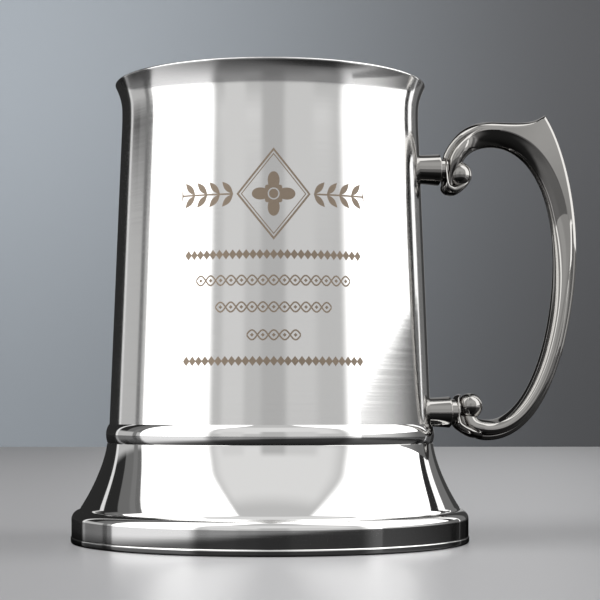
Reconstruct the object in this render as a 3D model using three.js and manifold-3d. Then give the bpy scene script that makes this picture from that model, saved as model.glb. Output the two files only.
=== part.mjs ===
// A one-pint metal tankard: a tapered drum on a flared foot, with a cast scroll handle
// held off the drum by two short posts. Units are millimetres and +Z is up. The origin is
// the centre of the base plate's underside, and the handle lies along +X.

import * as THREE from 'three';
import { mergeVertices } from 'three/addons/utils/BufferGeometryUtils.js';
import Module from 'manifold-3d';

// ---- driving dimensions -------------------------------------------------------------

const TANKARD_HEIGHT = 124;
const SHEET = 0.7;              // wall of the drum
const FOOT_SHEET = 0.8;         // wall of the foot and of the floor pan
const FIT = 0.05;               // soft-solder film between turned pieces
const JOINT_GAP = 0.3;          // brazing gap where the handle's mounting meets the drum
const ROUND_STEPS = 60;         // facets round every turned piece

const LIP_RADIUS = 42.1;
const NECK_RADIUS = 40.3;
const NECK_HEIGHT = 116.8;
const TAPER_TOP = { radius: 40.5, height: 109 };
const TAPER_BOTTOM = { radius: 43.75, height: 32 };

const BEAD_RADIUS = 44.7;
const BEAD_HEIGHT = 29.05;
const BEAD_BOTTOM = 26.8;
const COLLAR_RADIUS = 42.95;    // stepped collar of the foot, inside the drum
const COLLAR_TOP = 33;

const SKIRT_TOP_RADIUS = 44.35;
const SHOULDER_INNER_RADIUS = 51.5;
const SHOULDER_HEIGHT = 9.2;
const FOOT_RADIUS = 53.95;
const SHOULDER_ROUND = 2.5;

const PLATE_RADIUS = 54.15;
const PLATE_THICKNESS = 1.8;
const PLATE_EDGE = 0.4;

const FLOOR_HEIGHT = 14;        // underside of the floor pan
const FLOOR_CORNER = 4;

// Each place where the handle meets the drum: the height of its axis, then how far from the
// tankard's axis the post and the stud end.
const UPPER_MOUNT = { height: 102.5, postEnd: 47.4, studEnd: 48.4, studRadius: 3.1 };
const LOWER_MOUNT = { height: 35.2, postEnd: 50.5, studEnd: 51.8, studRadius: 3.6 };
const POST_ROOT_RADIUS = 3.95;
const POST_END_RADIUS = 4.35;
const STUD_DEPTH = 4;           // how far each stud goes into its post
const STUD_CLEARANCE = 0.1;

const BAR_THICKNESS = 5.4;      // handle bar, measured in the handle's plane
const BAR_WIDTH = 8;            // handle bar, measured across the handle's plane
const RIB_HEIGHT = 0.35;        // least that the fin stands out from the bar
const RIM_RADIUS = 1.2;         // rounding of the fin's edge
const BALL_RADIUS = 3.6;
const UPPER_BALL = { x: 53.2, z: 101.3 };
const LOWER_BALL = { x: 56.3, z: 36.9 };

// Centre line of the handle bar in its own plane, as Bezier curves that run on from one
// another: up the upper scroll, over the arch, down the back and into the lower scroll.
const BAR_CURVES = [
	[[50.7, 97.9], [50.1, 99.4], [50.5, 101.4], [50.9, 103.4]],
	[[50.9, 103.4], [51.7, 107.9], [55.9, 111.8], [62.5, 111.8]],
	[[62.5, 111.8], [74.5, 111.8], [83.2, 99.0], [83.2, 77.0]],
	[[83.2, 77.0], [83.2, 54.0], [75.0, 30.4], [61.3, 30.4]],
	[[61.3, 30.4], [58.2, 30.4], [55.4, 31.6], [55.7, 36.2]],
];
const BAR_STEPS = [6, 10, 28, 14, 8];
const UPPER_TAPER = { length: 8.5, thickness: 0.3, width: 0.5 };
const LOWER_TAPER = { length: 8.5, thickness: 0.7, width: 0.45 };

// Outer edge of the fin: along the arch, up to the thumb spur, and down the handle's back.
const FIN_CURVES = [
	[[50.2, 107.6], [51.4, 113.2], [56.6, 116.2], [62.2, 116.2]],
	[[62.2, 116.2], [68.0, 116.2], [74.6, 115.6], [77.9, 118.7]],
	[[77.9, 118.7], [83.4, 110.6], [87.2, 95.0], [87.2, 80.5]],
	[[87.2, 80.5], [87.2, 70.5], [85.4, 61.0], [82.6, 51.0]],
];
const FIN_STEPS = [10, 10, 12, 8];

// Bands that close the scrolls round their balls. Each row is a place along the band: reach,
// height, half width, dome outwards and depth inwards.
const UPPER_BAND = [
	[48.9, 105.6, 2.2, 0.1, 0.9], [48.6, 103.2, 3.3, 0.3, 0.9], [48.8, 100.9, 3.5, 0.3, 1.1],
	[49.1, 99.0, 3.4, 0.7, 1.1], [49.5, 97.9, 3.2, 1.7, 1.2], [50.3, 97.3, 3.1, 1.9, 1.4],
	[51.6, 97.0, 2.9, 1.5, 1.4], [53.9, 98.2, 2.5, 1.1, 1.2], [55.7, 99.8, 1.7, 0.7, 0.9],
	[56.4, 101.4, 0.6, 0.3, 0.5],
];
const LOWER_BAND = [
	[53.3, 40.1, 1.2, 0.2, 0.5], [52.4, 39.3, 2.8, 0.3, 0.7], [52.2, 36.8, 3.6, 0.35, 0.7],
	[52.3, 34.4, 3.7, 0.6, 0.9], [52.4, 33.1, 3.8, 1.1, 1.0], [52.8, 31.9, 3.9, 1.3, 1.2],
	[54.1, 30.9, 4.0, 1.4, 1.2], [55.8, 30.1, 4.0, 1.6, 1.2], [57.2, 29.7, 3.6, 1.7, 1.0],
	[59.6, 29.3, 2.2, 1.4, 0.6],
];

// ---- materials ----------------------------------------------------------------------

function polishedMetal() {
	return new THREE.MeshStandardMaterial({ color: 0xd2d2d0, roughness: 0.08, metalness: 1 });
}

function satinMetal() {
	return new THREE.MeshStandardMaterial({ color: 0xc9c9c8, roughness: 0.16, metalness: 1 });
}

// ---- outline helpers ----------------------------------------------------------------

function point(radius, height) {
	return new THREE.Vector2(radius, height);
}

// Points of an arc in the radius-height plane, angles in degrees from the outward axis.
function arc(radius, height, size, from, to, steps) {
	const points = [];
	for (let i = 0; i <= steps; i++) {
		const angle = THREE.MathUtils.degToRad(from + (to - from) * i / steps);
		points.push(point(radius + size * Math.cos(angle), height + size * Math.sin(angle)));
	}
	return points;
}

function bezier(a, b, c, d, steps) {
	return new THREE.CubicBezierCurve(a, b, c, d).getPoints(steps);
}

// Turns an outline, listed anticlockwise, about the tankard's axis.
function revolve(outline, closed = true) {
	const profile = closed ? [...outline, outline[0].clone()] : outline;
	return new THREE.LatheGeometry(profile, ROUND_STEPS).rotateX(Math.PI / 2);
}

// Moves each point of an open outline square to it, towards its left-hand side.
function offset(outline, distance) {
	return outline.map((p, i) => {
		const before = outline[Math.max(i - 1, 0)];
		const after = outline[Math.min(i + 1, outline.length - 1)];
		const along = after.clone().sub(before).normalize();
		return point(p.x - along.y * distance, p.y + along.x * distance);
	});
}

function taperRadius(height) {
	const run = TAPER_BOTTOM.height - TAPER_TOP.height;
	const slope = (TAPER_BOTTOM.radius - TAPER_TOP.radius) / run;
	return TAPER_TOP.radius + (height - TAPER_TOP.height) * slope;
}

// ---- solid joins --------------------------------------------------------------------

const wasm = await Module();
wasm.setup();

function toSolid(geometry) {
	const bare = geometry.clone();
	bare.deleteAttribute('normal');
	bare.deleteAttribute('uv');
	const merged = mergeVertices(bare, 1e-4);
	return new wasm.Manifold(new wasm.Mesh({
		numProp: 3,
		vertProperties: new Float32Array(merged.attributes.position.array),
		triVerts: new Uint32Array(merged.index.array),
	}));
}

function toGeometry(solid) {
	const mesh = solid.getMesh();
	const geometry = new THREE.BufferGeometry();
	geometry.setAttribute('position', new THREE.BufferAttribute(mesh.vertProperties, 3));
	geometry.setIndex(new THREE.BufferAttribute(mesh.triVerts, 1));
	geometry.computeVertexNormals();
	return geometry;
}

// ---- turned pieces ------------------------------------------------------------------

// Outside of the drum, from its lower edge to the neck and out to the lip.
function drumOutside(bottom) {
	const neck = point(NECK_RADIUS, NECK_HEIGHT);
	const lip = point(LIP_RADIUS - SHEET / 2, TANKARD_HEIGHT - SHEET / 2);
	const top = point(TAPER_TOP.radius, TAPER_TOP.height);
	return [
		point(taperRadius(bottom), bottom),
		point(TAPER_BOTTOM.radius, TAPER_BOTTOM.height),
		...bezier(top, point(40.3, 112), point(40.25, 114.5), neck, 3),
		...bezier(neck, point(40.35, 119.3), point(41.1, 121.2), lip, 5).slice(1),
	];
}

function barrel() {
	const outside = drumOutside(BEAD_BOTTOM + 2 * FIT);
	const inside = offset(outside, SHEET).reverse();
	const edge = arc(LIP_RADIUS - SHEET / 2, TANKARD_HEIGHT - SHEET / 2, SHEET / 2, 0, 90, 2);
	return revolve([...outside.slice(0, -1), ...edge, ...inside.slice(1)]);
}

// A pan that hangs from the drum's lower edge into the foot, which makes the depth inside.
function vesselFloor() {
	const wall = COLLAR_RADIUS - FOOT_SHEET - FIT;
	const corner = wall - FLOOR_CORNER;
	const round = FLOOR_CORNER - FOOT_SHEET;
	return revolve([
		point(0, FLOOR_HEIGHT),
		...arc(corner, FLOOR_HEIGHT + FLOOR_CORNER, FLOOR_CORNER, -90, 0, 4),
		point(wall, COLLAR_TOP),
		point(wall - FOOT_SHEET, COLLAR_TOP),
		...arc(corner, FLOOR_HEIGHT + FLOOR_CORNER, round, 0, -90, 4),
		point(0, FLOOR_HEIGHT + FOOT_SHEET),
	], false);
}

// Half-round ring that covers the seam between drum and foot.
function seamBead() {
	const bottom = BEAD_BOTTOM + FIT;
	const lower = point(SKIRT_TOP_RADIUS - 0.05, bottom);
	const upper = point(TAPER_BOTTOM.radius + 2 * FIT, TAPER_BOTTOM.height);
	const crown = point(2 * BEAD_RADIUS - (lower.x + upper.x) / 2, BEAD_HEIGHT);
	return revolve([
		...new THREE.QuadraticBezierCurve(lower, crown, upper).getPoints(8),
		point(taperRadius(bottom) + FIT, bottom),
	]);
}

// Outside of the foot, from the plate up the band, over the shoulder and up the flare.
function skirtOutside() {
	const shoulder = arc(
		FOOT_RADIUS - SHOULDER_ROUND, SHOULDER_HEIGHT - SHOULDER_ROUND - 0.3,
		SHOULDER_ROUND, 0, 78, 5,
	);
	const flareFoot = point(SHOULDER_INNER_RADIUS, SHOULDER_HEIGHT + 0.4);
	const flareTop = point(SKIRT_TOP_RADIUS, BEAD_BOTTOM);
	return [
		point(FOOT_RADIUS, PLATE_THICKNESS + FIT),
		...shoulder,
		...bezier(flareFoot, point(48.9, 13.4), point(45.2, 20.6), flareTop, 9),
	];
}

function footSkirt() {
	const outside = skirtOutside();
	const inside = offset(outside, FOOT_SHEET).reverse();
	inside[0] = point(SKIRT_TOP_RADIUS - FOOT_SHEET, BEAD_BOTTOM - FOOT_SHEET);
	const collarInside = COLLAR_RADIUS - FOOT_SHEET;
	return revolve([
		...outside,
		point(COLLAR_RADIUS, BEAD_BOTTOM),
		point(COLLAR_RADIUS, COLLAR_TOP),
		point(collarInside, COLLAR_TOP),
		point(collarInside, BEAD_BOTTOM - FOOT_SHEET),
		...inside,
	]);
}

function basePlate() {
	const edge = PLATE_RADIUS - PLATE_EDGE;
	return revolve([
		point(0, 0),
		...arc(edge, PLATE_EDGE, PLATE_EDGE, -90, 0, 2),
		...arc(edge, PLATE_THICKNESS - PLATE_EDGE, PLATE_EDGE, 0, 90, 2),
		point(0, PLATE_THICKNESS),
	], false);
}

// ---- handle and its mounting --------------------------------------------------------

// A cylinder or cone lying along +X at the given height.
function rod(startRadius, endRadius, start, end, height) {
	const geometry = new THREE.CylinderGeometry(endRadius, startRadius, end - start, 24);
	geometry.rotateZ(-Math.PI / 2);
	geometry.translate((start + end) / 2, 0, height);
	return geometry;
}

// The drum and its bead as one solid core, grown by the brazing gap, to shape the posts.
function drumCore() {
	const bead = [
		point(BEAD_RADIUS + JOINT_GAP, BEAD_BOTTOM),
		point(BEAD_RADIUS + JOINT_GAP, BEAD_HEIGHT + 0.6),
	];
	const wall = offset(drumOutside(TAPER_BOTTOM.height).slice(1, -3), -JOINT_GAP);
	const last = wall[wall.length - 1];
	return revolve([
		point(0, BEAD_BOTTOM), ...bead, ...wall, point(0, last.y),
	], false);
}

function mountingPost({ height, postEnd, studRadius }) {
	const start = taperRadius(height) - 4;
	const cone = toSolid(rod(POST_ROOT_RADIUS, POST_END_RADIUS, start, postEnd, height));
	const bore = studRadius + STUD_CLEARANCE;
	const socket = toSolid(rod(bore, bore, postEnd - STUD_DEPTH, postEnd + 1, height));
	return toGeometry(cone.subtract(toSolid(drumCore())).subtract(socket));
}

function mountingStud({ height, postEnd, studEnd, studRadius }) {
	return rod(studRadius, studRadius, postEnd - STUD_DEPTH + STUD_CLEARANCE, studEnd, height);
}

// Points of curves given by their control points, each curve starting where the last ended.
function curvePoints(curves, steps) {
	return curves.flatMap((controls, i) => {
		const points = bezier(...controls.map(([x, z]) => point(x, z)), steps[i]);
		return i ? points.slice(1) : points;
	});
}

// Direction of a line at one of its points.
function heading(line, i) {
	const after = line[Math.min(i + 1, line.length - 1)];
	return after.clone().sub(line[Math.max(i - 1, 0)]).normalize();
}

// How far along a direction from a place a line is met, or 0.
function reach(place, direction, line) {
	let best = 0;
	for (let i = 1; i < line.length; i++) {
		const start = line[i - 1].clone().sub(place);
		const edge = line[i].clone().sub(line[i - 1]);
		const cross = direction.cross(edge);
		const share = start.cross(direction) / cross;
		if (share >= 0 && share <= 1) {
			best = Math.max(best, start.cross(edge) / cross);
		}
	}
	return best;
}

// Half a section, listed as (left, sideways) from its right edge, made into a ring round
// one point of a line in the handle's plane.
function ringAt(line, i, half) {
	const along = heading(line, i);
	const mirrored = half.slice(1, -1).reverse().map(({ x, y }) => point(x, -y));
	return [...half, ...mirrored].map(({ x: left, y: side }) => [
		line[i].x - along.y * left, side, line[i].y + along.x * left,
	]);
}

// A closed body through rings of as many corners each, capped at both ends.
function loft(rings) {
	const count = rings[0].length;
	const last = (rings.length - 1) * count;
	const index = [];
	for (let start = 0; start < last; start += count) {
		for (let j = 0; j < count; j++) {
			const a = start + j;
			const b = start + (j + 1) % count;
			index.push(a, b, b + count, a, b + count, a + count);
		}
	}
	for (let j = 1; j + 1 < count; j++) {
		index.push(0, j + 1, j, last, last + j, last + j + 1);
	}
	const geometry = new THREE.BufferGeometry();
	geometry.setAttribute('position', new THREE.Float32BufferAttribute(rings.flat(2), 3));
	geometry.setIndex(index);
	return geometry;
}

// How full the bar is, from its tapered end to its full size at the taper's length.
function fullness(far, { length, thickness, width }) {
	const share = THREE.MathUtils.smoothstep(far, 0, length);
	return {
		thickness: thickness + (1 - thickness) * share,
		width: width + (1 - width) * share,
	};
}

// Half of the handle's section: half an oval, drawn out to a rounded fin on its left.
function barSection(height) {
	const [thick, wide] = [BAR_THICKNESS / 2, BAR_WIDTH / 2];
	const inner = arc(0, 0, 1, 180, 90, 6).map(({ x, y }) => point(x * thick, y * wide));
	const rim = arc(height - RIM_RADIUS, 0, RIM_RADIUS, 128, 0, 4);
	const fin = Math.min(1, (height - thick - RIB_HEIGHT) / 3.5);
	const hip = point((0.8 - 0.2 * fin) * height, wide * (0.84 - 0.22 * fin));
	const flank = bezier(inner[6], point(0.25 * height, wide), hip, rim[0], 7);
	return [...inner, ...flank.slice(1), ...rim.slice(1)];
}

// The bar with its fin and spur, along its centre line, thinner inside its two scrolls.
function handleBar() {
	const line = curvePoints(BAR_CURVES, BAR_STEPS);
	const edge = curvePoints(FIN_CURVES, FIN_STEPS);
	const far = [0];
	for (let i = 1; i < line.length; i++) {
		far.push(far[i - 1] + line[i].distanceTo(line[i - 1]));
	}
	return loft(line.map((place, i) => {
		const upper = fullness(far[i], UPPER_TAPER);
		const lower = fullness(far[far.length - 1] - far[i], LOWER_TAPER);
		const thin = Math.min(upper.thickness, lower.thickness);
		const narrow = Math.min(upper.width, lower.width);
		const along = heading(line, i);
		const met = reach(place, point(-along.y, along.x), edge);
		const least = thin * (BAR_THICKNESS / 2 + RIB_HEIGHT);
		const height = (met + least + Math.hypot(met - least, 0.45)) / 2;
		const half = barSection(height / thin).map(({ x, y }) => point(x * thin, y * narrow));
		return ringAt(line, i, half);
	}));
}

// A band round a scroll, smoothed through its rows; its dome is on the line's right.
function scrollBand(rows) {
	const smooth = (values) => new THREE.CatmullRomCurve3(
		values.map((row) => new THREE.Vector3(...row)), false, 'catmullrom',
	).getPoints(3 * (rows.length - 1));
	const line = smooth(rows.map(([x, z]) => [x, z, 0])).map(({ x, y }) => point(x, y));
	const sizes = smooth(rows.map((row) => row.slice(2)));
	return loft(sizes.map(({ x: wide, y: dome, z: deep }, i) => {
		const outer = arc(0, 0, 1, 180, 90, 4).map(({ x, y }) => point(x * dome, y * wide));
		const inner = arc(0, 0, 1, 90, 0, 4).map(({ x, y }) => point(x * deep, y * wide));
		return ringAt(line, i, [...outer, ...inner.slice(1)]);
	}));
}

function scrollBall(centre) {
	return new THREE.SphereGeometry(BALL_RADIUS, 20, 12).translate(centre.x, 0, centre.z);
}

// Clears the handle's scroll ends away from the stud that meets each of them.
function studFace({ height, studEnd, studRadius }) {
	const flat = studEnd + JOINT_GAP;
	return rod(studRadius + 0.8, studRadius + 0.8, flat - 8, flat, height);
}

function handleCasting() {
	const casting = toSolid(handleBar())
		.add(toSolid(scrollBall(UPPER_BALL)))
		.add(toSolid(scrollBall(LOWER_BALL)))
		.add(toSolid(scrollBand(UPPER_BAND)))
		.add(toSolid(scrollBand(LOWER_BAND)))
		.subtract(toSolid(studFace(UPPER_MOUNT)))
		.subtract(toSolid(studFace(LOWER_MOUNT)));
	return toGeometry(casting);
}

// ---- assembly -----------------------------------------------------------------------

function piece(name, geometry, material) {
	const mesh = new THREE.Mesh(geometry, material);
	mesh.name = name;
	return mesh;
}

const tankard = new THREE.Group();
tankard.name = 'tankard';
tankard.add(
	piece('barrel', barrel(), satinMetal()),
	piece('vessel_floor', vesselFloor(), satinMetal()),
	piece('seam_bead', seamBead(), polishedMetal()),
	piece('foot_skirt', footSkirt(), polishedMetal()),
	piece('base_plate', basePlate(), polishedMetal()),
	piece('handle_casting', handleCasting(), polishedMetal()),
	piece('upper_post', mountingPost(UPPER_MOUNT), polishedMetal()),
	piece('lower_post', mountingPost(LOWER_MOUNT), polishedMetal()),
	piece('upper_stud', mountingStud(UPPER_MOUNT), polishedMetal()),
	piece('lower_stud', mountingStud(LOWER_MOUNT), polishedMetal()),
);

export default tankard;
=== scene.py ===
"""Finished looks for the one-pint tankard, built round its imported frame.

Smooth turned shells and the cast scroll handle stand for the faceted solids, at the same
places and with the same outlines. Along its fin the handle has a fuller section than its
solid: a bevel, a flat web and a rounded rim. Outlines are in millimetres, as (radius, height)
pairs for turned pieces and (reach, height) pairs in the handle's plane; MM turns them into
metres.
"""

import math

import bpy
from mathutils import Matrix, Vector


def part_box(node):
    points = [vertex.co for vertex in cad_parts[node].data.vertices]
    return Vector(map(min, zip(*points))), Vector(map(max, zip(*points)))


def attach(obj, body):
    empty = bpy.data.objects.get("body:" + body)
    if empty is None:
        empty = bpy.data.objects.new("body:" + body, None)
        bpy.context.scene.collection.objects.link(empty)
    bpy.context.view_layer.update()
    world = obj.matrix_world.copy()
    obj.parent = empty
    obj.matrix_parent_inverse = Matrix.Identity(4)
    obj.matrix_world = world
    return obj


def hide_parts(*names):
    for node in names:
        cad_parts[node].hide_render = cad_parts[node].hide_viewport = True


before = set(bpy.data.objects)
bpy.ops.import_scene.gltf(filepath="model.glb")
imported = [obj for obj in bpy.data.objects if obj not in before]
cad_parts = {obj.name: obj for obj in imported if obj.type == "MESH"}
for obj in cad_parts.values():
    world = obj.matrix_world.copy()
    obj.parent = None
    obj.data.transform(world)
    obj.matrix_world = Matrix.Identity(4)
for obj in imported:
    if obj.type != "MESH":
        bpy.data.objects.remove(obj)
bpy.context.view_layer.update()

MM = 0.001
TURN_STEPS = 240

# ---- sizes, in millimetres -----------------------------------------------------------

# Outer sizes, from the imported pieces.
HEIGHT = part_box("barrel")[1].z / MM
FOOT_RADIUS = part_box("foot_skirt")[1].x / MM
PLATE_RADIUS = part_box("base_plate")[1].x / MM
PLATE_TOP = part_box("base_plate")[1].z / MM
BEAD_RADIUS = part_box("seam_bead")[1].x / MM
SEAM_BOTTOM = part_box("seam_bead")[0].z / MM
SEAM_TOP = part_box("seam_bead")[1].z / MM
COLLAR_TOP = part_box("foot_skirt")[1].z / MM
PAN_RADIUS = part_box("vessel_floor")[1].x / MM
PAN_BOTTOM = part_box("vessel_floor")[0].z / MM

# Sheet thicknesses, the drum's outline as (radius, height), and the foot's.
SHEET = 0.7
FOOT_SHEET = 0.8
LIP_RADIUS = 42.1
NECK = (40.3, 116.8)
TAPER_TOP = (40.5, 109.0)
TAPER_BOTTOM = (43.75, SEAM_TOP)
COLLAR_RADIUS = 42.95
SKIRT_TOP_RADIUS = 44.35
SHOULDER_ROUND = 2.5
SHOULDER_TOP = 8.9
FLARE_FOOT = (51.45, 9.55)

# The handle's plain bar: an oval, with a low rib on its back of that height and roundness.
BAR_HALF_THICKNESS = 2.7
BAR_HALF_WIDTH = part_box("handle_casting")[1].y / MM
RIB_HEIGHT = 0.35
RIB_ROUND = 1.2
# Its fin: the ridge where the web begins, as (outward, sideways) from the bar's centre, the
# web's slope, the depth of its rounded rim, the height over which the bar takes on this
# shape, and how softly the fin's edge leaves the bar's back.
WEB_RIDGE = (2.0, 3.4)
WEB_SLOPE = 0.1
WEB_RIM = 1.9
WEB_RISE = 1.6
FIN_SOFTNESS = 0.2
# How far the bar takes to thin into a scroll, and what share of its thickness and of its
# width is left at the upper end and at the lower end.
SCROLL_TAPER = 8.5
END_THICKNESS = (0.3, 0.7)
END_WIDTH = (0.5, 0.45)
# Balls, as (reach, height), the posts' heights, and how far a post goes into the drum's wall
# and a neck into the handle.
BALL_RADIUS = 3.6
UPPER_BALL = (53.2, 101.3)
LOWER_BALL = (56.3, 36.9)
UPPER_MOUNT_HEIGHT = 102.5
LOWER_MOUNT_HEIGHT = 35.2
POST_DEPTH = 0.35
NECK_DEPTH = 1.0


# ---- curves --------------------------------------------------------------------------


def arc(centre, size, start, end, steps):
    """Points of an arc, angles in degrees from the outward axis."""
    points = []
    for i in range(steps + 1):
        angle = math.radians(start + (end - start) * i / steps)
        points.append((centre[0] + size * math.cos(angle), centre[1] + size * math.sin(angle)))
    return points


def bezier(a, b, c, d, steps):
    """Points of a cubic Bezier curve, both ends included."""
    points = []
    for i in range(steps + 1):
        t = i / steps
        weights = ((1 - t) ** 3, 3 * t * (1 - t) ** 2, 3 * t * t * (1 - t), t**3)
        points.append(tuple(sum(w * p[k] for w, p in zip(weights, (a, b, c, d))) for k in (0, 1)))
    return points


def between(a, b, share):
    """The point that far of the way from a to b."""
    return tuple(p + (q - p) * share for p, q in zip(a, b))


def eased(share):
    """A share held between 0 and 1 that starts and stops gently."""
    share = max(0, min(1, share))
    return share * share * (3 - 2 * share)


def chain(*curves):
    """Joins curves that share their end points."""
    points = list(curves[0])
    for curve in curves[1:]:
        points += curve[1:]
    return points


def flowing(knots, steps):
    """A smooth run of values through knots, each a tuple of as many values."""
    padded = [knots[0], *knots, knots[-1]]
    run = []
    for a, b, c, d in zip(padded, padded[1:], padded[2:], padded[3:]):
        for i in range(steps):
            t = i / steps
            first, last = 2 * t * t - t - t**3, t**3 - t * t
            weights = (first, 2 - 5 * t * t + 3 * t**3, t + 4 * t * t - 3 * t**3, last)
            run.append(tuple(sum(w * v for w, v in zip(weights, four)) / 2 for four in zip(a, b, c, d)))
    return run + [knots[-1]]


def normals(line):
    """Unit normals of an open line, to the left of its direction."""
    result = []
    for i in range(len(line)):
        before, after = line[max(i - 1, 0)], line[min(i + 1, len(line) - 1)]
        dx, dz = after[0] - before[0], after[1] - before[1]
        size = math.hypot(dx, dz)
        result.append((-dz / size, dx / size))
    return result


def offset(line, distance):
    """The open line moved to its left by that distance."""
    return [(p[0] + n[0] * distance, p[1] + n[1] * distance) for p, n in zip(line, normals(line))]


# ---- meshes --------------------------------------------------------------------------


def add_mesh(name, vertices, faces, crease=35):
    """A smooth-shaded object from vertices in millimetres, sharp where it bends past crease."""
    mesh = bpy.data.meshes.new(name)
    mesh.from_pydata([tuple(c * MM for c in v) for v in vertices], [], faces)
    mesh.validate()
    mesh.shade_smooth()
    mesh.set_sharp_from_angle(angle=math.radians(crease))
    piece = bpy.data.objects.new(name, mesh)
    bpy.context.scene.collection.objects.link(piece)
    return piece


def turned(name, outline, crease=35):
    """A body turned about Z. The outline runs anticlockwise and closes, or ends on the axis."""
    on_axis = outline[0][0] == 0
    rim = outline[1:-1] if on_axis else outline
    count = len(rim)
    vertices = []
    for i in range(TURN_STEPS):
        angle = 2 * math.pi * i / TURN_STEPS
        vertices += [(r * math.cos(angle), r * math.sin(angle), z) for r, z in rim]
    faces = []
    for i in range(TURN_STEPS):
        here, there = i * count, (i + 1) % TURN_STEPS * count
        for j in range(count - 1 if on_axis else count):
            k = (j + 1) % count
            faces.append((here + j, there + j, there + k, here + k))
    if on_axis:
        first = len(vertices)
        vertices += [(0, 0, outline[0][1]), (0, 0, outline[-1][1])]
        for i in range(TURN_STEPS):
            here, there = i * count, (i + 1) % TURN_STEPS * count
            faces.append((first, there, here))
            faces.append((first + 1, here + count - 1, there + count - 1))
    return add_mesh(name, vertices, faces, crease)


def lofted(name, rings, crease=35):
    """A closed body through rings of the same number of vertices, capped at both ends."""
    count = len(rings[0])
    vertices = [v for ring in rings for v in ring]
    faces = []
    for i in range(len(rings) - 1):
        for j in range(count):
            k = (j + 1) % count
            faces.append((i * count + j, i * count + k, (i + 1) * count + k, (i + 1) * count + j))
    faces.append(tuple(reversed(range(count))))
    faces.append(tuple(range(len(vertices) - count, len(vertices))))
    return add_mesh(name, vertices, faces, crease)


def joined(base, *parts, crease=30):
    """Unites overlapping closed bodies into base, and removes the others."""
    for part in parts:
        union = base.modifiers.new("union", "BOOLEAN")
        union.operation = "UNION"
        union.solver = "EXACT"
        union.object = part
    depsgraph = bpy.context.evaluated_depsgraph_get()
    mesh = bpy.data.meshes.new_from_object(base.evaluated_get(depsgraph))
    base.modifiers.clear()
    base.data = mesh
    mesh.shade_smooth()
    mesh.set_sharp_from_angle(angle=math.radians(crease))
    for part in parts:
        bpy.data.objects.remove(part)
    return base


# ---- turned pieces -------------------------------------------------------------------


def taper_radius(height):
    """Outer radius of the drum's straight taper at that height."""
    slope = (TAPER_BOTTOM[0] - TAPER_TOP[0]) / (TAPER_BOTTOM[1] - TAPER_TOP[1])
    return TAPER_TOP[0] + (height - TAPER_TOP[1]) * slope


def drum():
    """The tapered drum with its neck, flared lip and rounded edge."""
    half = SHEET / 2
    edge_centre = (LIP_RADIUS - half, HEIGHT - half)
    lip = (LIP_RADIUS - half * 0.2, HEIGHT - half * 1.6)
    start = SEAM_BOTTOM + 0.1
    wall = [(taper_radius(z), z) for z in (start, *range(32, 110, 7))]
    outside = chain(
        wall,
        bezier(wall[-1], (40.32, 112.4), (40.25, 114.8), NECK, 14),
        bezier(NECK, (40.35, 119.4), (41.05, 121.4), lip, 22),
    )
    inside = offset(outside, SHEET)
    edge = arc(edge_centre, half, -25, 165, 12)
    return turned("drum_shell", outside[:-1] + edge + inside[-3::-1])


def floor_pan():
    """The pan that closes the drum from below, dished into the foot."""
    corner = 4.0
    centre = (PAN_RADIUS - corner, PAN_BOTTOM + corner)
    inner = PAN_RADIUS - FOOT_SHEET
    rim = arc((PAN_RADIUS - FOOT_SHEET / 2, COLLAR_TOP - FOOT_SHEET / 2), FOOT_SHEET / 2, 0, 180, 8)
    return turned(
        "floor_pan",
        [(0, PAN_BOTTOM), (20, PAN_BOTTOM)]
        + arc(centre, corner, -90, 0, 14)
        + rim
        + [(inner, centre[1] + 4)]
        + arc(centre, corner - FOOT_SHEET, 0, -90, 14)
        + [(20, PAN_BOTTOM + FOOT_SHEET), (0, PAN_BOTTOM + FOOT_SHEET)],
    )


def bead_ring():
    """The half-round ring over the seam, lapping the skirt and a film's width off the drum."""
    lap, film = 0.15, 0.02
    low = (SKIRT_TOP_RADIUS - lap, SEAM_BOTTOM)
    high = (taper_radius(SEAM_TOP) + film, SEAM_TOP)
    middle = (low[1] + high[1]) / 2
    face = bezier(low, (BEAD_RADIUS + 0.1, low[1] + 1.2), (BEAD_RADIUS + 0.28, middle + 1.1), high, 24)
    return turned("bead_ring", face + [(taper_radius(SEAM_BOTTOM) + film, SEAM_BOTTOM)])


def foot():
    """The spun foot: band, rounded shoulder, hollow flare and the collar inside the drum."""
    centre = (FOOT_RADIUS - SHOULDER_ROUND, SHOULDER_TOP - SHOULDER_ROUND)
    flare_top = (SKIRT_TOP_RADIUS, SEAM_BOTTOM - 0.05)
    ledge = arc(centre, SHOULDER_ROUND, 0, 84, 18)
    hollow = bezier(ledge[-1], (51.62, SHOULDER_TOP + 0.04), (51.56, 9.2), FLARE_FOOT, 6)
    flare = bezier(FLARE_FOOT, (48.9, 13.4), (45.2, 20.6), flare_top, 40)
    outside = chain([(FOOT_RADIUS, PLATE_TOP + 0.05), ledge[0]], ledge, hollow, flare)
    inside = offset(outside, FOOT_SHEET)[::-1]
    collar = COLLAR_RADIUS - FOOT_SHEET
    return turned(
        "foot_shell",
        outside
        + [(COLLAR_RADIUS, flare_top[1]), (COLLAR_RADIUS, COLLAR_TOP), (collar, COLLAR_TOP)]
        + [(collar, flare_top[1] - FOOT_SHEET), (inside[1][0], flare_top[1] - FOOT_SHEET)]
        + inside[1:],
    )


def plate():
    """The flat plate that closes the foot, with a rounded edge a little proud of the band."""
    top, bottom = 0.35, 0.6
    return turned(
        "closing_plate",
        [(0, 0), (25, 0), (50, 0)]
        + arc((PLATE_RADIUS - bottom, bottom), bottom, -90, 0, 8)
        + arc((PLATE_RADIUS - top, PLATE_TOP - top), top, 0, 90, 8)
        + [(50, PLATE_TOP), (25, PLATE_TOP), (0, PLATE_TOP)],
    )


# ---- handle --------------------------------------------------------------------------


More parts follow.
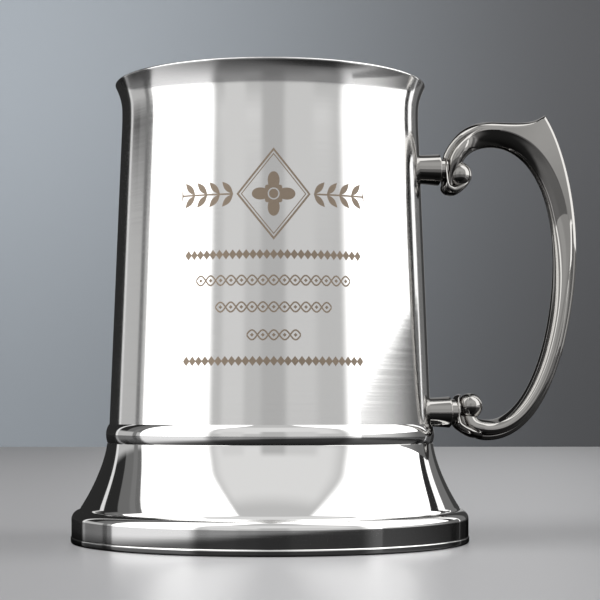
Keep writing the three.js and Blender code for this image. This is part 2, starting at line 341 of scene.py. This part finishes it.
def bar_line():
    """Centre line of the handle bar, from the upper scroll over the arch to the lower one."""
    crown, side, heel = (62.5, 111.8), (83.2, 77.0), (61.3, 30.4)
    return chain(
        bezier((50.7, 97.9), (50.1, 99.4), (50.5, 101.4), (50.9, 103.4), 14),
        bezier((50.9, 103.4), (51.7, 107.9), (55.9, 111.8), crown, 30),
        bezier(crown, (74.5, 111.8), (83.2, 99.0), side, 110),
        bezier(side, (83.2, 54.0), (75.0, 30.4), heel, 90),
        bezier(heel, (58.2, 30.4), (55.4, 31.6), (55.7, 36.2), 26),
    )


def fin_line():
    """Outer edge of the fin, along the arch, round the thumb spur and down the back."""
    crest, tip, back = (62.2, 116.2), (77.9, 118.7), (87.1, 80.5)
    return chain(
        bezier((50.2, 107.6), (51.4, 113.2), (56.6, 116.2), crest, 60),
        bezier(crest, (68.0, 116.2), (74.6, 115.6), tip, 60),
        bezier(tip, (83.4, 110.6), (87.1, 95.0), back, 80),
        bezier(back, (87.1, 70.5), (85.4, 61.0), (82.6, 51.0), 60),
    )


def reach(origin, direction, line):
    """How far along direction from origin the line is met, or 0."""
    best = 0
    for (ax, az), (bx, bz) in zip(line, line[1:]):
        ex, ez = bx - ax, bz - az
        cross = direction[0] * ez - direction[1] * ex
        if abs(cross) < 1e-9:
            continue
        far = ((ax - origin[0]) * ez - (az - origin[1]) * ex) / cross
        along = ((ax - origin[0]) * direction[1] - (az - origin[1]) * direction[0]) / cross
        if -1e-6 <= along <= 1 + 1e-6 and far > 0:
            best = max(best, far)
    return best


def bar_section(height):
    """Half outline of the handle, as (outward, sideways), where its back is that far out.

    The plain bar is an oval with a rib on its back. Where the fin stands on it, the inside
    is a long bevel up to a ridge, and from there a nearly flat web runs to the rounded rim.
    """
    fin = eased((height - BAR_HALF_THICKNESS - RIB_HEIGHT) / WEB_RISE)
    deep, wide = BAR_HALF_THICKNESS, BAR_HALF_WIDTH
    ridge = between((0, wide), WEB_RIDGE, fin)
    low = between((-deep, 0.55 * wide), (-deep, 0.5 * wide), fin)
    high = between((-0.55 * deep, wide), (0.1 * deep, 0.66 * wide), fin)
    inner = bezier((-deep, 0), low, high, ridge, 16)
    shoulder = WEB_RIDGE[1] - WEB_SLOPE * (height - WEB_RIM - WEB_RIDGE[0])
    rim, rim_width = between((RIB_ROUND, RIB_ROUND), (WEB_RIM, shoulder), fin)
    # The round edge begins square to the flat web, and further back round the plain bar's rib.
    round_edge = arc((0, 0), 1, 128 - 38 * fin, 0, 10)
    tip = [(height - rim + rim * u, rim_width * v) for u, v in round_edge]
    near = between((0.25 * height, wide), between(ridge, tip[0], 1 / 3), fin)
    far = between((0.8 * height, 0.84 * wide), between(ridge, tip[0], 2 / 3), fin)
    return inner + bezier(ridge, near, far, tip[0], 20)[1:] + tip[1:]


def tapered(ends, start, end):
    """The share of a size left between its two ends, start and end being how full each makes it."""
    upper, lower = ends
    return min(upper + (1 - upper) * start, lower + (1 - lower) * end)


def tapers(line):
    """Shares of the full thickness and width along the bar, which thins into its two scrolls."""
    lengths = [0]
    for a, b in zip(line, line[1:]):
        lengths.append(lengths[-1] + math.dist(a, b))
    shares = []
    for length in lengths:
        start = eased(length / SCROLL_TAPER)
        end = eased((lengths[-1] - length) / SCROLL_TAPER)
        shares.append((tapered(END_THICKNESS, start, end), tapered(END_WIDTH, start, end)))
    return shares


def handle():
    """The cast handle: bar with its fin and spur, and a band and a ball in each scroll."""
    line, edge = bar_line(), fin_line()
    rings = []
    for origin, normal, (thin, narrow) in zip(line, normals(line), tapers(line)):
        least = (BAR_HALF_THICKNESS + RIB_HEIGHT) * thin
        met = reach(origin, normal, edge)
        height = (met + least + math.sqrt((met - least) ** 2 + FIN_SOFTNESS)) / 2
        half = [(u * thin, v * narrow) for u, v in bar_section(height / thin)]
        ring = half + [(u, -v) for u, v in half[-2:0:-1]]
        rings.append([(origin[0] + normal[0] * u, v, origin[1] + normal[1] * u) for u, v in ring])
    bar = lofted("scroll_handle", rings)
    return joined(bar, upper_strap(), lower_strap(), ball("upper", UPPER_BALL), ball("lower", LOWER_BALL))


def strap(name, knots):
    """A band domed on its outside, through knots of x, z, half width, depth out and depth in."""
    path = flowing(knots, 8)
    rings = []
    for (x, z, wide, out, deep), (nx, nz) in zip(path, normals([knot[:2] for knot in path])):
        ring = []
        for i in range(32):
            turn = 2 * math.pi * i / 32
            far = (out if i < 16 else deep) * math.sin(turn)
            ring.append((x - nx * far, -wide * math.cos(turn), z - nz * far))
        rings.append(ring)
    return lofted(name, rings)


def upper_strap():
    """The upper scroll's end, from the post round under the ball, with a horn to the left."""
    return strap(
        "upper_strap",
        [
            (48.9, 105.6, 2.2, 0.1, 0.9),
            (48.6, 103.2, 3.3, 0.3, 0.9),
            (48.8, 100.9, 3.5, 0.3, 1.1),
            (49.1, 99.0, 3.4, 0.7, 1.1),
            (49.5, 97.9, 3.2, 1.7, 1.2),
            (50.3, 97.3, 3.1, 1.9, 1.4),
            (51.6, 97.0, 2.9, 1.5, 1.4),
            (53.9, 98.2, 2.5, 1.1, 1.2),
            (55.7, 99.8, 1.7, 0.7, 0.9),
            (56.4, 101.4, 0.6, 0.3, 0.5),
        ],
    )


def lower_strap():
    """The lower scroll's end, from over the post down its ball and out along the bar."""
    return strap(
        "lower_strap",
        [
            (53.3, 40.1, 1.2, 0.2, 0.5),
            (52.4, 39.3, 2.8, 0.3, 0.7),
            (52.2, 36.8, 3.6, 0.35, 0.7),
            (52.3, 34.4, 3.7, 0.6, 0.9),
            (52.4, 33.1, 3.8, 1.1, 1.0),
            (52.8, 31.9, 3.9, 1.3, 1.2),
            (54.1, 30.9, 4.0, 1.4, 1.2),
            (55.8, 30.1, 4.0, 1.6, 1.2),
            (57.2, 29.7, 3.6, 1.7, 1.0),
            (59.6, 29.3, 2.2, 1.4, 0.6),
        ],
    )


def ball(name, centre):
    """The ball that sits in a scroll of the handle."""
    profile = arc((0, 0), BALL_RADIUS, -90, 90, 48)
    profile = [(0, -BALL_RADIUS)] + profile[1:-1] + [(0, BALL_RADIUS)]
    piece = turned(name, profile)
    piece.data.transform(Matrix.Translation((centre[0] * MM, 0, centre[1] * MM)))
    return piece


def lying(name, outline, height):
    """A body turned about Z, laid along +X at that height above the table."""
    piece = turned(name, outline)
    piece.data.transform(Matrix.Rotation(math.pi / 2, 4, "Y"))
    piece.data.transform(Matrix.Translation((0, 0, height * MM)))
    return piece


def post(name, node, height):
    """A short round post, a little wider at the handle, rooted in the drum's wall."""
    root = taper_radius(height) - POST_DEPTH
    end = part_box(node)[1].x / MM
    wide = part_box(node)[1].y / MM
    narrow, edge = wide - 0.4, 0.35
    side = bezier((narrow, root), (narrow, root + 2), (wide - 0.15, end - 2), (wide, end - edge), 14)
    return lying(
        name,
        [(0, root)] + side + arc((wide - edge, end - edge), edge, 0, 90, 8)[1:] + [(0, end)],
        height,
    )


def stud(name, node, height):
    """The narrower neck between a post and the handle's scroll."""
    start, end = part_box(node)[0].x / MM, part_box(node)[1].x / MM + NECK_DEPTH
    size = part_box(node)[1].y / MM
    return lying(name, [(0, start), (size, start), (size, end), (0, end)], height)


# ---- node helpers --------------------------------------------------------------------


def feed(tree, sockets, values):
    """Sets each socket to its number, or links it to its socket."""
    for socket, value in zip(sockets, values):
        if isinstance(value, (int, float)):
            socket.default_value = value
        else:
            tree.links.new(value, socket)


def calc(tree, operation, *values):
    """A Math node on sockets or numbers, giving its output socket."""
    node = tree.nodes.new("ShaderNodeMath")
    node.operation = operation
    feed(tree, node.inputs, values)
    return node.outputs[0]


def hypotenuse(tree, x, y):
    """The length of the vector (x, y)."""
    return calc(tree, "SQRT", calc(tree, "MULTIPLY_ADD", x, x, calc(tree, "MULTIPLY", y, y)))


def ramp(tree, value, start, end):
    """0 before start and 1 past end, turning smoothly between them."""
    node = tree.nodes.new("ShaderNodeMapRange")
    node.interpolation_type = "SMOOTHSTEP"
    feed(tree, node.inputs, (value, start, end, 0.0, 1.0))
    return node.outputs[0]


def blend(tree, share, low, high):
    """Numbers or sockets mixed by a 0 to 1 share."""
    node = tree.nodes.new("ShaderNodeMix")
    feed(tree, node.inputs[:1], (share,))
    feed(tree, node.inputs[2:4], (low, high))
    return node.outputs[0]


def blend_colour(tree, share, low, high):
    """Two colours mixed by a 0 to 1 share."""
    node = tree.nodes.new("ShaderNodeMix")
    node.data_type = "RGBA"
    tree.links.new(share, node.inputs[0])
    node.inputs[6].default_value = (*low, 1)
    node.inputs[7].default_value = (*high, 1)
    return node.outputs[2]


def place(tree):
    """The point's x, y and z sockets, in millimetres in the part's frame."""
    coordinates = tree.nodes.new("ShaderNodeTexCoord")
    split = tree.nodes.new("ShaderNodeSeparateXYZ")
    tree.links.new(coordinates.outputs["Object"], split.inputs[0])
    return [calc(tree, "MULTIPLY", axis, 1 / MM) for axis in split.outputs]


def noise(tree, point, scales, detail=2.0):
    """A noise value of the point, with a scale of its own along each axis, per millimetre."""
    vector = tree.nodes.new("ShaderNodeCombineXYZ")
    feed(tree, vector.inputs, [calc(tree, "MULTIPLY", axis, s) for axis, s in zip(point, scales)])
    texture = tree.nodes.new("ShaderNodeTexNoise")
    texture.inputs["Scale"].default_value = 1
    texture.inputs["Detail"].default_value = detail
    tree.links.new(vector.outputs[0], texture.inputs["Vector"])
    return texture.outputs[0]


def bump(tree, shader, height, distance):
    """Raises the surface by height times distance, in metres."""
    node = tree.nodes.new("ShaderNodeBump")
    node.inputs["Distance"].default_value = distance
    tree.links.new(height, node.inputs["Height"])
    tree.links.new(node.outputs[0], shader.inputs["Normal"])


# ---- materials -----------------------------------------------------------------------

# Colours of the metals, and the height of their surface's unevenness, in metres.
STEEL = (0.83, 0.825, 0.815)
MIRROR_STEEL = (0.86, 0.855, 0.845)
# The cast steel is darker than the drum's steel as painted shade, for the darker surroundings that the
# handle, posts and necks mirror.
SHADED_CAST_STEEL = (0.39, 0.38, 0.365)
SATIN_LINES = 0.000004
MIRROR_LINES = 0.0000008
CAST_WAVES = 0.00003


def metal(name, colour, roughness):
    """A material with a metal shader, returning it with its tree and shader."""
    material = bpy.data.materials.new(name)
    material.use_nodes = True
    tree = material.node_tree
    shader = tree.nodes["Principled BSDF"]
    shader.inputs["Base Color"].default_value = (*colour, 1)
    shader.inputs["Metallic"].default_value = 1
    shader.inputs["Roughness"].default_value = roughness
    return material, tree, shader


def turned_metal(name, colour, roughness, lines, brushing):
    """Polished sheet with fine turning lines round the axis; lines is their height in metres."""
    material, tree, shader = metal(name, colour, roughness)
    shader.inputs["Anisotropic"].default_value = brushing
    shader.inputs["Anisotropic Rotation"].default_value = 0.25
    x, y, z = place(tree)
    radius = hypotenuse(tree, x, y)
    across = calc(tree, "MULTIPLY_ADD", radius, -0.6, z)
    fine = noise(tree, (x, y, across), (0.018, 0.018, 2.2), 4)
    broad = noise(tree, (x, y, across), (0.01, 0.01, 0.35), 2)
    smudge = noise(tree, (x, y, z), (0.05, 0.05, 0.05), 3)
    rough = blend(tree, smudge, 0.75 * roughness, 1.25 * roughness)
    rough = calc(tree, "MULTIPLY", rough, blend(tree, fine, 0.5, 1.5))
    tree.links.new(rough, shader.inputs["Roughness"])
    bump(tree, shader, calc(tree, "MULTIPLY_ADD", broad, 2.5, fine), lines)
    return material, tree, shader


def cast_metal(name, colour, roughness):
    """Hand-polished casting: a faint unevenness under the shine, and soft polishing marks."""
    material, tree, shader = metal(name, colour, roughness)
    point = place(tree)
    uneven = noise(tree, point, (0.16, 0.16, 0.16), 2)
    marks = noise(tree, point, (0.9, 0.9, 0.9), 3)
    rough = blend(tree, uneven, 0.6 * roughness, 1.4 * roughness)
    rough = calc(tree, "MULTIPLY", rough, blend(tree, marks, 0.7, 1.3))
    tree.links.new(rough, shader.inputs["Roughness"])
    bump(tree, shader, uneven, CAST_WAVES)
    return material


# ---- engraving -----------------------------------------------------------------------

# Degrees round the drum of the ornament's middle, the drum's radius there, and its tint.
ENGRAVING_ANGLE = -97.9
ENGRAVED_RADIUS = 42.3
ENGRAVED_TINT = (0.33, 0.26, 0.195)
# Heights of the medallion with its leaves and of the lozenge rows, and height and number of
# links of each chain.
MEDALLION_HEIGHT = 89.9
LOZENGE_HEIGHTS = (74.7, 48.0)
CHAINS = ((68.2, 15), (61.5, 11), (54.5, 5))
# Added before taking a fraction, this puts the middle of a cell at the ornament's middle.
CENTRED = 20.5


def below(tree, value, limit):
    """1 where the value is under the limit, with a soft edge, and 0 elsewhere."""
    return calc(tree, "SUBTRACT", 1, ramp(tree, value, limit - 0.05, limit + 0.05))


def both(tree, *masks):
    """1 where every mask is 1."""
    result = masks[0]
    for mask in masks[1:]:
        result = calc(tree, "MULTIPLY", result, mask)
    return result


def either(tree, *masks):
    """1 where any mask is 1."""
    result = masks[0]
    for mask in masks[1:]:
        result = calc(tree, "MAXIMUM", result, mask)
    return result


def far_from(tree, value, centre):
    """The distance of a value from a centre."""
    return calc(tree, "ABSOLUTE", calc(tree, "SUBTRACT", value, centre))


def lozenge_row(tree, along, z, height):
    """A row of small filled lozenges, which just run into each other."""
    count, pitch, half_width, half_height = 27, 1.74, 1.0, 1.25
    cell = calc(tree, "FRACT", calc(tree, "MULTIPLY_ADD", along, 1 / pitch, CENTRED))
    beside = calc(tree, "MULTIPLY", far_from(tree, cell, 0.5), pitch / half_width)
    above = calc(tree, "MULTIPLY", far_from(tree, z, height), 1 / half_height)
    inside = below(tree, calc(tree, "ADD", beside, above), 1.0)
    return both(tree, inside, below(tree, calc(tree, "ABSOLUTE", along), count / 2 * pitch))


def wave_chain(tree, along, z, height, links):
    """Two crossing waves that make a chain of eye-shaped links, with a dot in each."""
    period, swing, stroke, dot = 5.4, 1.2, 0.2, 0.5
    turn = calc(tree, "MULTIPLY", along, 2 * math.pi / period)
    cosine = calc(tree, "COSINE", turn)
    slope = calc(tree, "MULTIPLY", calc(tree, "SINE", turn), swing * 2 * math.pi / period)
    steep = calc(tree, "SQRT", calc(tree, "MULTIPLY_ADD", slope, slope, 1.0))
    level = calc(tree, "SUBTRACT", z, height)
    lines = []
    for side in (-swing, swing):
        gap = calc(tree, "ABSOLUTE", calc(tree, "MULTIPLY_ADD", cosine, side, level))
        lines.append(below(tree, calc(tree, "DIVIDE", gap, steep), stroke))
    cell = calc(tree, "FRACT", calc(tree, "MULTIPLY_ADD", along, 2 / period, CENTRED))
    beside = calc(tree, "MULTIPLY", far_from(tree, cell, 0.5), period / 2)
    dots = below(tree, calc(tree, "ADD", beside, calc(tree, "ABSOLUTE", level)), dot)
    extent = below(tree, calc(tree, "ABSOLUTE", along), links * period / 4)
    return both(tree, either(tree, *lines, dots), extent)


def leaf_band(tree, along, z, height):
    """A straight stem with pairs of slanting leaves, to both sides of the medallion."""
    pitch, length, half_width, slant = 3.5, 4.3, 0.78, math.radians(47)
    start, end, half_stem = 10.5, 25.0, 0.22
    out = calc(tree, "ABSOLUTE", along)
    up = far_from(tree, z, height)
    cell = calc(tree, "FRACT", calc(tree, "MULTIPLY_ADD", out, 1 / pitch, 10.0))
    cell = calc(tree, "MULTIPLY", cell, pitch)
    cosine, sine = math.cos(slant), math.sin(slant)
    run = calc(tree, "MULTIPLY_ADD", cell, cosine, calc(tree, "MULTIPLY", up, sine))
    side = calc(tree, "MULTIPLY_ADD", cell, -sine, calc(tree, "MULTIPLY", up, cosine))
    belly = calc(tree, "SINE", calc(tree, "MULTIPLY", run, math.pi / length))
    aside = calc(tree, "MULTIPLY_ADD", belly, -half_width, calc(tree, "ABSOLUTE", side))
    leaf = both(tree, below(tree, aside, 0.0), below(tree, run, length))
    stem = below(tree, up, half_stem)
    spread = both(tree, below(tree, out, end), calc(tree, "SUBTRACT", 1, below(tree, out, start)))
    return both(tree, either(tree, leaf, stem), spread)


def medallion(tree, along, z, height):
    """Nested lozenge outlines round a rosette of long and short petals with a ringed heart."""
    half_width, half_height, depth = 9.6, 11.6, 7.4
    outer_line, inner_line, inset = 0.25, 0.13, 1.0
    long_petal, short_petal, heart_radius, heart_line = 5.6, 2.9, 1.35, 0.16
    level = calc(tree, "SUBTRACT", z, height)
    beside = calc(tree, "MULTIPLY", calc(tree, "ABSOLUTE", along), 1 / half_width)
    above = calc(tree, "MULTIPLY", calc(tree, "ABSOLUTE", level), 1 / half_height)
    size = calc(tree, "MULTIPLY", calc(tree, "ADD", beside, above), depth)
    outer = below(tree, far_from(tree, size, depth - outer_line), outer_line)
    inner = below(tree, far_from(tree, size, depth - inset), inner_line)
    distance = hypotenuse(tree, along, level)
    twice = calc(tree, "MULTIPLY", calc(tree, "ARCTAN2", level, along), 2.0)
    petals = []
    for wave, length in (("COSINE", long_petal), ("SINE", short_petal)):
        lobe = calc(tree, "ABSOLUTE", calc(tree, wave, twice))
        petals.append(below(tree, calc(tree, "MULTIPLY_ADD", lobe, -length, distance), 0.0))
    ring = below(tree, far_from(tree, distance, heart_radius), heart_line)
    rosette = both(tree, either(tree, *petals), calc(tree, "SUBTRACT", 1, ring))
    return either(tree, outer, inner, rosette)


def engraving(tree):
    """Where the drum's ornament is engraved, 1 inside its lines, on the outside only."""
    x, y, z = place(tree)
    turn = calc(tree, "ARCTAN2", y, x)
    turn = calc(tree, "SUBTRACT", turn, math.radians(ENGRAVING_ANGLE))
    along = calc(tree, "MULTIPLY", turn, ENGRAVED_RADIUS)
    radius = hypotenuse(tree, x, y)
    slope = (TAPER_BOTTOM[0] - TAPER_TOP[0]) / (TAPER_BOTTOM[1] - TAPER_TOP[1])
    wall = calc(tree, "MULTIPLY_ADD", z, slope, TAPER_TOP[0] - TAPER_TOP[1] * slope)
    outside = ramp(tree, calc(tree, "SUBTRACT", radius, wall), -0.45, -0.25)
    marks = [shape(tree, along, z, MEDALLION_HEIGHT) for shape in (medallion, leaf_band)]
    marks += [lozenge_row(tree, along, z, height) for height in LOZENGE_HEIGHTS]
    marks += [wave_chain(tree, along, z, height, links) for height, links in CHAINS]
    return both(tree, either(tree, *marks), outside)


def engraved_drum(colour):
    """The drum's satin metal with the laser-darkened ornament on its front."""
    material, tree, shader = turned_metal("satin_drum", colour, 0.11, SATIN_LINES, 0.6)
    marks = engraving(tree)
    rough = shader.inputs["Roughness"].links[0].from_socket
    tree.links.new(blend_colour(tree, marks, colour, ENGRAVED_TINT), shader.inputs["Base Color"])
    tree.links.new(blend(tree, marks, rough, 0.5), shader.inputs["Roughness"])
    tree.links.new(blend(tree, marks, 1.0, 0.25), shader.inputs["Metallic"])
    return material


# ---- stage ---------------------------------------------------------------------------

# Where the camera stands, in degrees round from -Y and in metres, and its lens.
CAMERA_TURN = -10.0
EYE_HEIGHT = 0.0353
EYE_DISTANCE = 0.4817
AXIS_LEFT_OF_VIEW = 0.0081
LENS = 105.7
SHIFT_UP = 0.1864

# Brightness of the room that lights the scene, and of what metal mirrors outside the panels.
PALE_ROOM = 0.62
STUDIO = 0.38
# Light and dark areas round the tankard, each painted over those before it: left and right
# in degrees round from the camera's side, low and high in degrees up, edge softness left,
# right and up-down in degrees, and brightness.
PANELS = [
    (-172, -98, -90, 80, 5, 1, 6, 0.025),
    (-118, -98, -90, 90, 1, 1, 1, 0.16),
    (-131, -98, -10, 8, 5, 1, 5, 0.52),
    (-134, -131, -90, 70, 0.8, 0.8, 1, 0.80),
    (-108, -105, -90, 70, 2, 1, 1, 0.20),
    (-99, 128, -90, 90, 2, 4, 1, 2.20),
    (127.5, 134, -10, 70, 1, 1, 4, 0.03),
    (135, 141, -10, 70, 1, 1, 4, 1.40),
    (142, 168, -10, 70, 1, 4, 4, 0.17),
    (156, 168, -10, 70, 2, 4, 4, 0.05),
]
# The grey wall behind the camera, between the two white panels, in the same terms.
GREY_WALL = [
    (-39, 52, -90, 90, 8, 12, 10, 0.58),
    (-33, 42, 18, 48, 12, 16, 10, 0.80),
    (-31, -20, -10, 20, 5, 5, 8, 0.72),
    (14, 30, -10, 20, 7, 8, 8, 0.67),
    (-3, 9, -10, 20, 5, 5, 8, 0.50),
]
# How much narrower that wall looks high up, and the degrees up between which it narrows.
WALL_NARROWING = (0.62, 34, 72)
# The table as metal mirrors it: its colours seen from above and along its surface, the place
# where it is shaded, in metres right of the axis and away from the camera, between which
# distances that shade ends, and what share of the sheen is left in it.
SHEEN_DARK, SHEEN_LIGHT = (0.012, 0.012, 0.012), (0.43, 0.43, 0.435)
SHADE_RIGHT, SHADE_AWAY = 0.085, -0.05
SHADE_EDGE = (0.13, 0.21)
SHADE_DEPTH = 0.12


def aim(turn):
    """Unit vectors away from the camera and to its right, for a camera turned by that angle."""
    angle = math.radians(turn)
    cosine, sine = math.cos(angle), math.sin(angle)
    return Vector((-sine, cosine, 0)), Vector((cosine, sine, 0))


def camera():
    """A level camera at the height of the drum's foot, shifted to frame the tankard."""
    away, right = aim(CAMERA_TURN)
    data = bpy.data.cameras.new("camera")
    data.sensor_width = 36
    data.lens = LENS
    data.shift_y = SHIFT_UP
    data.clip_start = 0.01
    eye = bpy.data.objects.new("camera", data)
    eye.location = right * AXIS_LEFT_OF_VIEW - away * EYE_DISTANCE + Vector((0, 0, EYE_HEIGHT))
    eye.rotation_mode = "QUATERNION"
    eye.rotation_quaternion = away.to_track_quat("-Z", "Y")
    bpy.context.scene.collection.objects.link(eye)
    bpy.context.scene.camera = eye


def toward(tree, direction, axis):
    """How far a direction socket goes along an axis."""
    node = tree.nodes.new("ShaderNodeVectorMath")
    node.operation = "DOT_PRODUCT"
    tree.links.new(direction, node.inputs[0])
    node.inputs[1].default_value = axis
    return node.outputs["Value"]


def within(tree, value, low, high, low_soft, high_soft):
    """1 between low and high, fading to 0 over each softness outside them."""
    rise = ramp(tree, value, low - low_soft, low)
    fall = ramp(tree, value, high, high + high_soft)
    return calc(tree, "MULTIPLY", rise, calc(tree, "SUBTRACT", 1, fall))


def painted(tree, level, areas, round_angle, up_angle):
    """Brightness with each area painted over it."""
    for left, right, low, high, soft_left, soft_right, soft_up, glow in areas:
        across = within(tree, round_angle, left, right, soft_left, soft_right)
        upward = within(tree, up_angle, low, high, soft_up, soft_up)
        level = blend(tree, calc(tree, "MULTIPLY", across, upward), level, glow)
    return level


def surroundings():
    """A pale, evenly lit room, with soft panels and dark flags for the metal to mirror."""
    world = bpy.data.worlds.new("studio")
    world.use_nodes = True
    bpy.context.scene.world = world
    tree = world.node_tree
    direction = tree.nodes.new("ShaderNodeTexCoord").outputs["Generated"]
    away, right = aim(CAMERA_TURN)
    side, front = toward(tree, direction, right), toward(tree, direction, -away)
    round_angle = calc(tree, "DEGREES", calc(tree, "ARCTAN2", side, front))
    up_angle = calc(tree, "DEGREES", calc(tree, "ARCSINE", toward(tree, direction, (0, 0, 1))))
    narrowing, start, end = WALL_NARROWING
    widened = calc(tree, "MULTIPLY_ADD", ramp(tree, up_angle, start, end), narrowing, 1.0)
    wall_angle = calc(tree, "MULTIPLY", round_angle, widened)
    level = painted(tree, STUDIO, PANELS, round_angle, up_angle)
    level = painted(tree, level, GREY_WALL, wall_angle, up_angle)
    mirrored = tree.nodes.new("ShaderNodeLightPath").outputs["Is Glossy Ray"]
    background = tree.nodes["Background"]
    background.inputs["Color"].default_value = (1, 1, 1, 1)
    tree.links.new(blend(tree, mirrored, PALE_ROOM, level), background.inputs["Strength"])


def flat(name, corners, material):
    """A flat four-cornered stage piece."""
    mesh = bpy.data.meshes.new(name)
    mesh.from_pydata(corners, [], [(0, 1, 2, 3)])
    mesh.materials.append(material)
    piece = bpy.data.objects.new(name, mesh)
    bpy.context.scene.collection.objects.link(piece)
    return piece


def table_material():
    """A pale satin table, which polished metal mirrors as a dark sheen, darkest by the handle."""
    material = bpy.data.materials.new("pale_table")
    material.use_nodes = True
    tree = material.node_tree
    pale = tree.nodes["Principled BSDF"]
    pale.inputs["Base Color"].default_value = (0.5, 0.5, 0.51, 1)
    pale.inputs["Roughness"].default_value = 0.35
    slant = tree.nodes.new("ShaderNodeLayerWeight").outputs["Facing"]
    sheen = tree.nodes.new("ShaderNodeBsdfAnisotropic")
    away, right = aim(CAMERA_TURN)
    apart = tree.nodes.new("ShaderNodeVectorMath")
    apart.operation = "DISTANCE"
    tree.links.new(tree.nodes.new("ShaderNodeTexCoord").outputs["Object"], apart.inputs[0])
    apart.inputs[1].default_value = right * SHADE_RIGHT + away * SHADE_AWAY
    clear = blend(tree, ramp(tree, apart.outputs["Value"], *SHADE_EDGE), SHADE_DEPTH, 1.0)
    share = calc(tree, "MULTIPLY", ramp(tree, slant, 0.12, 0.95), clear)
    tree.links.new(blend_colour(tree, share, SHEEN_DARK, SHEEN_LIGHT), sheen.inputs["Color"])
    sheen.inputs["Roughness"].default_value = 0.2
    mixed = tree.nodes.new("ShaderNodeMixShader")
    tree.links.new(tree.nodes.new("ShaderNodeLightPath").outputs["Is Glossy Ray"], mixed.inputs[0])
    tree.links.new(pale.outputs[0], mixed.inputs[1])
    tree.links.new(sheen.outputs[0], mixed.inputs[2])
    tree.links.new(mixed.outputs[0], tree.nodes["Material Output"].inputs["Surface"])
    return material


def wall_material(half_width, height):
    """Blue-grey paper, with painted light: lighter to the camera's left and upwards."""
    material = bpy.data.materials.new("grey_paper")
    material.use_nodes = True
    tree = material.node_tree
    shader = tree.nodes["Principled BSDF"]
    shader.inputs["Roughness"].default_value = 0.8
    away, right = aim(CAMERA_TURN)
    point = tree.nodes.new("ShaderNodeTexCoord").outputs["Object"]
    across = ramp(tree, toward(tree, point, right), -half_width, half_width)
    shade = tree.nodes.new("ShaderNodeVectorMath")
    shade.operation = "SCALE"
    # Painted light: the paper darkens from the lit left towards the right, and towards the floor.
    painted_falloff = blend_colour(tree, across, (0.58, 0.635, 0.69), (0.14, 0.143, 0.15))
    tree.links.new(painted_falloff, shade.inputs[0])
    up = ramp(tree, toward(tree, point, (0, 0, 1)), 0.0, height)
    tree.links.new(blend(tree, up, 0.72, 1.0), shade.inputs["Scale"])
    tree.links.new(shade.outputs[0], shader.inputs["Base Color"])
    return material


def low_card():
    """A grey card to the right, which hides the foot of the right panel from the metal."""
    away, right = aim(CAMERA_TURN)
    material = bpy.data.materials.new("grey_card")
    material.use_nodes = True
    tree = material.node_tree
    shader = tree.nodes["Principled BSDF"]
    shader.inputs["Base Color"].default_value = (0, 0, 0, 1)
    shader.inputs["Specular IOR Level"].default_value = 0
    shader.inputs["Emission Color"].default_value = (1, 1, 1, 1)
    point = tree.nodes.new("ShaderNodeTexCoord").outputs["Object"]
    far = ramp(tree, toward(tree, point, -away), -0.3, 0.2)
    tree.links.new(blend(tree, far, 0.15, 0.82), shader.inputs["Emission Strength"])
    start = right * 0.5 - away * 0.25
    end = right * 0.42 + away * 0.42
    low, high = Vector((0, 0, 0.078)), Vector((0, 0, 0.118))
    card = flat("grey_card", [start, end, end + high, start + low], material)
    card.visible_camera = False
    card.visible_diffuse = False


def lamp(name, turn, distance, height, size, power):
    """A soft square lamp that lights the room but isn't mirrored in the metal."""
    away, right = aim(CAMERA_TURN)
    angle = math.radians(turn)
    out = right * math.sin(angle) - away * math.cos(angle)
    data = bpy.data.lights.new(name, "AREA")
    data.size = size
    data.energy = power
    source = bpy.data.objects.new(name, data)
    source.location = out * distance + Vector((0, 0, height))
    source.rotation_mode = "QUATERNION"
    source.rotation_quaternion = (-source.location).to_track_quat("-Z", "Y")
    source.visible_glossy = False
    source.visible_camera = False
    bpy.context.scene.collection.objects.link(source)


def stage():
    """Table, backdrop, room and lamps."""
    bpy.context.scene.view_settings.view_transform = "Standard"
    reach_out = 4
    corners = [(-1, -1), (1, -1), (1, 1), (-1, 1)]
    flat("floor", [(x * reach_out, y * reach_out, 0) for x, y in corners], table_material())
    away, right = aim(CAMERA_TURN)
    distance, half_width, height = 1.3, 1.5, 1.6
    left, end = (away * distance + right * side for side in (-half_width, half_width))
    up = Vector((0, 0, height))
    wall = flat("backdrop", [left, end, end + up, left + up], wall_material(0.35, 0.4))
    wall.visible_glossy = False
    low_card()
    surroundings()
    lamp("left_lamp", -66, 0.9, 0.8, 0.7, 6)
    lamp("right_lamp", 96, 0.9, 0.8, 0.7, 4)


# ---- making --------------------------------------------------------------------------


def finish_piece(piece, material, slot, *nodes):
    """Gives a piece its material and body, and hides the nodes it stands for. The slot is not used."""
    piece.data.materials.clear()
    piece.data.materials.append(material)
    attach(piece, "root")
    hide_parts(*nodes)


camera()
stage()

drum_metal = engraved_drum(STEEL)
inside_metal = turned_metal("satin_inside", STEEL, 0.14, SATIN_LINES, 0.4)[0]
mirror = turned_metal("mirror_foot", MIRROR_STEEL, 0.035, MIRROR_LINES, 0.0)[0]
cast = cast_metal("cast_mirror", SHADED_CAST_STEEL, 0.04)

finish_piece(drum(), drum_metal, "satin_steel", "barrel")
finish_piece(floor_pan(), inside_metal, "satin_steel", "vessel_floor")
finish_piece(bead_ring(), mirror, "polished_steel", "seam_bead")
finish_piece(foot(), mirror, "polished_steel", "foot_skirt")
finish_piece(plate(), mirror, "polished_steel", "base_plate")
finish_piece(handle(), cast, "cast_steel", "handle_casting")
finish_piece(post("top_post", "upper_post", UPPER_MOUNT_HEIGHT), cast, "polished_steel", "upper_post")
finish_piece(post("bottom_post", "lower_post", LOWER_MOUNT_HEIGHT), cast, "polished_steel", "lower_post")
finish_piece(stud("top_neck", "upper_stud", UPPER_MOUNT_HEIGHT), cast, "polished_steel", "upper_stud")
finish_piece(stud("bottom_neck", "lower_stud", LOWER_MOUNT_HEIGHT), cast, "polished_steel", "lower_stud")
